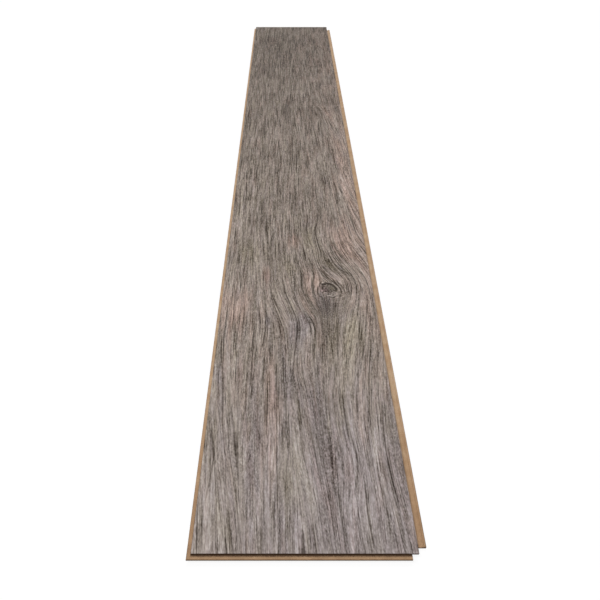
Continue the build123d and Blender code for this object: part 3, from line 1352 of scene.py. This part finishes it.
    @staticmethod
    def tinted(wire: Wiring, colour: Value, warm: Value, cool: Value) -> Socket:
        """Lays rosy, olive and violet casts over the grey, each by its own share.

        Args:
            wire: the tree's wiring.
            colour: the grey.
            warm: share of the rosy cast, or of the olive one where it is negative.
            cool: share of the violet cast.

        Returns:
            The tinted colour.
        """
        for share, tint in ((warm, Tint.ROSY), (wire.times(warm, -1.0), Tint.OLIVE), (cool, Tint.VIOLET)):
            cast = wire.mix(Mixed.COLOUR, 1.0, colour, (*tint.value, 1.0), blend="MULTIPLY")
            colour = wire.mix(Mixed.COLOUR, wire.math("MULTIPLY", share, 1.0, clamp=True), colour, cast)
        return colour


@dataclass(frozen=True)
class Fibreboard:
    """Finish of the core: milled high-density fibreboard with a dark sealed arris and a paper underside.

    The dark seal runs on past the face's edge as painted shade in the corner, and the outermost edges carry
    painted shade. Colours are display values, and sizes are in millimetres.
    """

    milled: tuple[Stop, ...] = (
        Stop(0.0, (124, 96, 70)),
        Stop(0.5, (170, 137, 105)),
        Stop(1.0, (206, 182, 154)),
    )
    # Dark seal of the upper lips' cut faces; where it runs on over the lip below the face's edge it is
    # painted shade in the corner
    sealed_and_shaded: Colour = (70, 48, 29)
    paper: tuple[Stop, ...] = (
        Stop(0.0, (150, 136, 112)),
        Stop(1.0, (184, 170, 146)),
    )
    fibre: float = 0.7
    middle: float = 0.4
    speckled: float = 0.16
    clouded: float = 0.14
    # How far the seal and its painted corner shade reach past the face's edge, and between which heights
    seal_and_shade_run: float = 1.0
    seal_and_shade_start: float = 0.2
    seal_and_shade_ragged: float = 0.25
    seal_and_shade_end_stretch: float = 2.3
    seal_and_shade_low: float = 4.9
    seal_and_shade_high: float = 5.3
    pale_from: float = -700.0
    pale_to: float = -500.0
    pale: float = 0.24
    # Painted shade: the core's tone is darker within this reach of its outermost sides
    outer_edge_shade_run: float = 0.9
    outer_edge_shade: float = 0.34
    paper_ends: float = 0.06
    paper_full: float = 0.02
    roughness: float = 0.75
    speckled_roughness: float = 0.05
    specular: float = 0.25
    bump: float = 0.4
    bump_height: float = 0.05

    def material(self, face_corner: np.ndarray, core: tuple[np.ndarray, np.ndarray]) -> bpy.types.Material:
        """Builds the finish.

        Args:
            face_corner: highest corner of the face's layer, in metres.
            core: the core's lowest and highest corners, in metres.

        Returns:
            The material, which reads the board's own coordinates.
        """
        material, wire, shader = new_material("milled_fibreboard")
        own = wire.node("ShaderNodeTexCoord").outputs["Object"]
        place = wire.split(own)
        speckle, cloud = wire.group(SharedNoise.fibres(), Place=own, Grain=self.fibre * MM)
        tone = wire.add(
            self.middle,
            wire.times(speckle, self.speckled),
            wire.times(cloud, self.clouded),
            wire.times(wire.step(place[1], self.pale_from * MM, self.pale_to * MM), self.pale),
            # painted shade along the core's outermost edges
            wire.times(self.near_outline(wire, place, core), -self.outer_edge_shade),
        )
        # dark seal, running on over the lips below the face's edge as painted shade in the corner
        sealed_and_shaded = self.near_face(wire, place, face_corner, speckle)
        colour = wire.mix(Mixed.COLOUR, sealed_and_shaded, wire.ramp(tone, self.milled), to_linear(self.sealed_and_shaded))
        underside = wire.step(place[2], self.paper_ends * MM, self.paper_full * MM)
        colour = wire.mix(Mixed.COLOUR, underside, colour, wire.ramp(tone, self.paper))
        wire.feed(shader.inputs["Base Color"], colour)
        roughness = wire.add(self.roughness, wire.times(speckle, self.speckled_roughness))
        wire.feed(shader.inputs["Roughness"], roughness)
        shader.inputs["Specular IOR Level"].default_value = self.specular
        wire.feed(shader.inputs["Normal"], wire.bump(self.bump, self.bump_height, speckle))
        return material

    def near_outline(
        self, wire: Wiring, place: tuple[Socket, ...], core: tuple[np.ndarray, np.ndarray]
    ) -> Socket:
        """Share of the painted shade on the outer edges: smoothly up to 1 at the nearest of the core's four
        outermost sides.

        Args:
            wire: the tree's wiring.
            place: x, y and z on the board.
            core: the core's lowest and highest corners, in metres.

        Returns:
            The share.
        """
        low, high = core
        inside = [
            wire.math("MINIMUM", wire.math("SUBTRACT", at, float(a)), wire.math("SUBTRACT", float(b), at))
            for at, a, b in zip(place[:2], low, high)
        ]
        return wire.step(wire.math("MINIMUM", *inside), self.outer_edge_shade_run * MM, 0.0)

    def near_face(
        self, wire: Wiring, place: tuple[Socket, ...], face_corner: np.ndarray, speckle: Value
    ) -> Socket:
        """Share of the dark seal, which runs on as painted shade in the corner: on the upper lips, close to
        the face's edge, with a ragged end.

        The distance beyond the edge is divided by a stretch at the board's ends, where the painted corner
        shade runs on further.

        Args:
            wire: the tree's wiring.
            place: x, y and z on the board.
            face_corner: highest corner of the face's layer, in metres.
            speckle: the noise that makes its end ragged.

        Returns:
            The share.
        """
        beyond = [
            wire.math("DIVIDE", wire.math("SUBTRACT", wire.math("ABSOLUTE", at), float(half)), stretch)
            for at, half, stretch in zip(place[:2], face_corner, (1.0, self.seal_and_shade_end_stretch))
        ]
        ragged = wire.add(wire.math("MAXIMUM", *beyond), wire.times(speckle, self.seal_and_shade_ragged * MM))
        upper = wire.step(place[2], self.seal_and_shade_low * MM, self.seal_and_shade_high * MM)
        return wire.times(upper, wire.step(ragged, self.seal_and_shade_run * MM, self.seal_and_shade_start * MM))


@dataclass(frozen=True)
class CutEdge:
    """Finish of the decor layer's cut sides: dark resin-soaked paper, darker and lighter by shares."""

    colour: Colour = (66, 47, 32)
    shades: Span = (0.75, 1.2)
    contrast: float = 0.4
    roughness: float = 0.6
    grain: float = 0.5

    def material(self) -> bpy.types.Material:
        """Builds the finish from the shared fibre speckle.

        Returns:
            The material.
        """
        material, wire, shader = new_material("cut_laminate_edge")
        own = wire.node("ShaderNodeTexCoord").outputs["Object"]
        speckle, _ = wire.group(SharedNoise.fibres(), Place=own, Grain=self.grain * MM)
        share = wire.math("MULTIPLY_ADD", speckle, self.contrast, 0.5, clamp=True)
        dark, light = (to_linear(self.colour, shade) for shade in self.shades)
        wire.feed(shader.inputs["Base Color"], wire.mix(Mixed.COLOUR, share, dark, light))
        shader.inputs["Roughness"].default_value = self.roughness
        return material


def new_object(name: str, data: bpy.types.ID) -> bpy.types.Object:
    """Puts a new object into the scene.

    Args:
        name: its name.
        data: its mesh, lamp or camera.

    Returns:
        The object, at the origin.
    """
    made = bpy.data.objects.new(name, data)
    bpy.context.scene.collection.objects.link(made)
    return made


@dataclass
class EmbossedFace:
    """The printed wear face: a closed sheet as large as the decor layer, its top pressed in register."""

    low: np.ndarray
    high: np.ndarray
    column_count: int = 311
    row_count: int = 312
    arris: float = 0.05
    dense_from: float = -430.0
    dense_to: float = -230.0
    dense_step: float = 1.6
    dense_fade: float = 30.0
    sum_step: float = 0.5
    finish: OakPrint = OakPrint()
    edge_finish: CutEdge = CutEdge()

    def places_along(self) -> np.ndarray:
        """Places of the rows in millimetres: close together at the knot, wide apart on the open board.

        The rows' density is a smooth step up into the dense stretch and down out of it. It is summed along
        the board and read back at even shares.

        Returns:
            The places, from the near end to the far end.
        """
        half = self.high[1] / MM
        y = np.arange(-half, half + self.sum_step, self.sum_step)
        dense = smooth_step(self.dense_from - self.dense_fade, self.dense_from, y)
        dense *= smooth_step(self.dense_to + self.dense_fade, self.dense_to, y)
        dense_length = self.dense_to - self.dense_from + self.dense_fade
        open_rows = self.row_count - dense_length / self.dense_step
        open_step = (2 * half - dense_length) / open_rows
        density = dense / self.dense_step + (1 - dense) / open_step
        total = np.concatenate([[0.0], np.cumsum((density[1:] + density[:-1]) / 2)])
        return np.interp(np.linspace(0, total[-1], self.row_count), total, y)

    def build(self) -> bpy.types.Object:
        """Builds the sheet, its attributes and its finishes.

        Returns:
            The object.
        """
        grain = GrainField(half_width=self.high[0] / MM, half_length=self.high[1] / MM)
        rows = self.places_along()
        across = grain.on_rows(grain.columns(self.column_count), rows)
        pattern = FacePattern(grain, across, rows)
        relief = pattern.relief()
        edge = np.zeros(relief.shape, dtype=bool)
        edge[[0, -1], :] = edge[:, [0, -1]] = True
        depth = np.where(edge, self.arris + relief, relief)
        top = np.stack([across * MM, pattern.y * MM, self.high[2] - depth * MM], axis=-1)
        mesh = self.closed_sheet(top)
        layers = {
            Layer.EVEN_GRAIN: pattern.print_place(0),
            Layer.ODD_GRAIN: pattern.print_place(1),
            Layer.SHARES: pattern.shares(),
            Layer.ZONES: pattern.zones(),
            Layer.KNOT: pattern.knot_place(),
            Layer.PRESSED: np.stack([relief, pattern.strength(), pattern.dark_clouds()], axis=-1),
        }
        for layer, values in layers.items():
            self.store(mesh, layer, values)
        face = new_object("embossed_face", mesh)
        mesh.materials.append(self.finish.material(pattern.knot))
        mesh.materials.append(self.edge_finish.material())
        return face

    def closed_sheet(self, top: np.ndarray) -> bpy.types.Mesh:
        """Closes the top grid with upright sides and a flat bottom.

        The sides drop from the grid's outline to the layer's lowest plane. The bottom is one quad for each
        row, and one face at each end that takes in all the points of the outline there.

        Args:
            top: the grid's points, rows by columns by three.

        Returns:
            The mesh, with the sides and the bottom in the second material.
        """
        rows, columns = top.shape[:2]
        index = np.arange(rows * columns).reshape(rows, columns)
        outline = np.concatenate([index[0, :-1], index[:-1, -1], index[-1, :0:-1], index[:0:-1, 0]])
        below = top.reshape(-1, 3)[outline].copy()
        below[:, 2] = self.low[2]
        points = np.concatenate([top.reshape(-1, 3), below])
        lower = np.full(rows * columns, -1)
        lower[outline] = rows * columns + np.arange(len(outline))
        quads = np.stack([index[:-1, :-1], index[:-1, 1:], index[1:, 1:], index[1:, :-1]], axis=-1)
        quads = quads.reshape(-1, 4)
        following = np.roll(outline, -1)
        sides = np.stack([lower[outline], lower[following], following, outline], axis=-1)
        left, right = lower[index[:, 0]], lower[index[:, -1]]
        middle = np.stack([left[1:-2], left[2:-1], right[2:-1], right[1:-2]], axis=-1)
        near = [*lower[index[0, ::-1]], left[1], right[1]]
        far = [left[-2], *lower[index[-1]], right[-2]]
        mesh = bpy.data.meshes.new("embossed_face")
        mesh.from_pydata(points, [], [*quads.tolist(), *sides.tolist(), *middle.tolist(), near, far])
        slots = np.ones(len(mesh.polygons), dtype=np.int32)
        slots[: len(quads)] = 0
        mesh.polygons.foreach_set("material_index", slots)
        mesh.polygons.foreach_set("use_smooth", slots == 0)
        ends = np.empty(2 * len(mesh.edges), dtype=np.int32)
        mesh.edges.foreach_get("vertices", ends)
        on_outline = np.zeros(len(points), dtype=bool)
        on_outline[outline] = True
        on_outline[rows * columns:] = True
        mesh.edges.foreach_set("use_edge_sharp", on_outline[ends.reshape(-1, 2)].all(axis=1))
        mesh.update()
        return mesh

    @staticmethod
    def store(mesh: bpy.types.Mesh, layer: Layer, values: np.ndarray) -> None:
        """Writes vectors of the top grid to a point attribute, with zeros on the bottom's points.

        Args:
            mesh: the closed sheet.
            layer: the attribute's name.
            values: one vector for each point of the grid.
        """
        padded = np.zeros((len(mesh.vertices), 3), dtype=np.float32)
        flat = values.reshape(-1, 3)
        padded[: len(flat)] = flat
        mesh.attributes.new(layer.value, "FLOAT_VECTOR", "POINT").data.foreach_set("vector", padded.ravel())


@dataclass
class Floorboard:
    """The board: the core's own mesh with a finish, and the embossed face on it."""

    core_node: str = "hdf_core"
    face_node: str = "decor_layer"
    core_finish: Fibreboard = Fibreboard()

    def build(self) -> None:
        """Dresses the core, builds the face and ties the face to the frame."""
        low, high = (np.array(corner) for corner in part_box(self.face_node))
        core = tuple(np.array(corner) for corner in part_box(self.core_node))
        finish = self.core_finish.material(high, core)
        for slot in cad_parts[self.core_node].material_slots:
            slot.material = finish
        LOG.info("%s: keeps its mesh, finish %s", self.core_node, finish.name)
        face = EmbossedFace(low, high).build()
        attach(face, BODY)
        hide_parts(self.face_node)
        LOG.info("%s: %d points, %d faces", face.name, len(face.data.vertices), len(face.data.polygons))


@dataclass(frozen=True)
class Viewpoint:
    """Where the photograph was taken from, in metres and degrees, and its optics in pixels.

    The sensor is in millimetres, and clip holds the nearest and farthest distance that shows, in metres.
    """

    above_face: float = 0.4585
    before_near_end: float = 0.1636
    sideways: float = -0.0167
    pitch: float = 44.31
    focal: float = 518.5
    axis_column: float = 285.2
    frame_size: float = 600.0
    sensor: float = 36.0
    clip: Span = (0.01, 50.0)


@dataclass(frozen=True)
class SunLamp:
    """A broad sun: its strength as a share of the plain white level, and its direction in degrees."""

    name: str
    share: float
    tilt: float
    turn: float
    width: float


@dataclass(frozen=True)
class Lighting:
    """Soft studio light: an even sky, and suns from high on the left and from beyond the far end.

    Where the floor is seen straight, it glows and reflects a little, up to floor_white outside shadows.
    """

    sky: float = 0.32
    suns: tuple[SunLamp, ...] = (
        SunLamp("left", 0.42, 21.0, -90.0, 12.0),
        SunLamp("far_end", 0.26, 38.0, 180.0, 20.0),
    )
    floor_bounce: float = 0.2
    floor_shading: float = 0.12
    floor_white: float = 1.02
    floor_roughness: float = 0.9


@dataclass
class Studio:
    """Camera, light, white surround and pale floor."""

    viewpoint: Viewpoint = Viewpoint()
    lighting: Lighting = Lighting()
    floor_size: float = 6.0
    floor_drop: float = 0.2 * MM

    def build(self) -> None:
        """Sets up everything that isn't the object."""
        self.camera()
        for sun in self.lighting.suns:
            self.sun(sun)
        self.surround()
        self.floor()
        bpy.context.scene.view_settings.view_transform = "Standard"

    def camera(self) -> None:
        """Places the camera at the photograph's viewpoint, looking along the board and down on it."""
        seen = self.viewpoint
        low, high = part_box("decor_layer")
        data = bpy.data.cameras.new("camera")
        data.sensor_width = seen.sensor
        data.lens = seen.focal / seen.frame_size * seen.sensor
        data.shift_x = 0.5 - seen.axis_column / seen.frame_size
        data.clip_start, data.clip_end = seen.clip
        camera = new_object("camera", data)
        camera.location = (seen.sideways, low[1] - seen.before_near_end, high[2] + seen.above_face)
        camera.rotation_euler = (math.radians(90 - seen.pitch), 0, 0)
        bpy.context.scene.camera = camera

    @staticmethod
    def sun(lamp: SunLamp) -> None:
        """Adds a sun whose light on the level face is its share of pi, the plain white level.

        Args:
            lamp: its strength, direction and breadth.
        """
        data = bpy.data.lights.new(lamp.name, "SUN")
        tilt = math.radians(lamp.tilt)
        data.energy = lamp.share * math.pi / math.cos(tilt)
        data.angle = math.radians(lamp.width)
        sun = new_object(lamp.name, data)
        sun.rotation_euler = (tilt, 0, math.radians(lamp.turn))

    def surround(self) -> None:
        """Gives the world an even light and shows it as plain white."""
        world = bpy.data.worlds.new("white_surround")
        bpy.context.scene.world = world
        world.use_nodes = True
        world.node_tree.nodes.clear()
        wire = Wiring(world.node_tree)
        shade = wire.node("ShaderNodeBackground")
        wire.feed(shade.inputs["Strength"], wire.mix(Mixed.NUMBER, self.seen(wire), self.lighting.sky, 1.0))
        shade.inputs["Color"].default_value = (1, 1, 1, 1)
        wire.feed(wire.node("ShaderNodeOutputWorld").inputs["Surface"], shade.outputs[0])

    @staticmethod
    def seen(wire: Wiring) -> Socket:
        """Tells what the camera sees straight, mirrored or through glass from what only lights.

        Args:
            wire: the tree's wiring.

        Returns:
            1 for rays that show, 0 for the others.
        """
        path = wire.node("ShaderNodeLightPath").outputs
        seen = wire.math("MAXIMUM", path["Is Camera Ray"], path["Is Glossy Ray"])
        return wire.math("MAXIMUM", seen, path["Is Transmission Ray"])

    def floor(self) -> None:
        """Lays a pale floor just under the board, which shows white and keeps a light shadow."""
        material, wire, shader = new_material("pale_floor")
        seen = self.seen(wire)
        bounce, shading = self.lighting.floor_bounce, self.lighting.floor_shading
        glow = self.lighting.floor_white - shading
        shader.inputs["Roughness"].default_value = self.lighting.floor_roughness
        shader.inputs["Specular IOR Level"].default_value = 0.0
        tone = wire.mix(Mixed.COLOUR, seen, (bounce, bounce, bounce, 1), (shading, shading, shading, 1))
        wire.feed(shader.inputs["Base Color"], tone)
        light = wire.mix(Mixed.COLOUR, seen, (0, 0, 0, 1), (glow, glow, glow, 1))
        wire.feed(shader.inputs["Emission Color"], light)
        shader.inputs["Emission Strength"].default_value = 1.0
        half, z = self.floor_size / 2, -self.floor_drop
        points = [(-half, -half, z), (half, -half, z), (half, half, z), (-half, half, z)]
        mesh = bpy.data.meshes.new("floor")
        mesh.from_pydata(points, [], [(0, 1, 2, 3)])
        mesh.materials.append(material)
        floor = new_object("floor", mesh)


def main() -> None:
    """Builds the board and the studio."""
    logging.basicConfig(level=logging.INFO, format="%(name)s: %(message)s")
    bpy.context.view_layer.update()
    Studio().build()
    Floorboard().build()


if __name__ == "__main__":
    main()
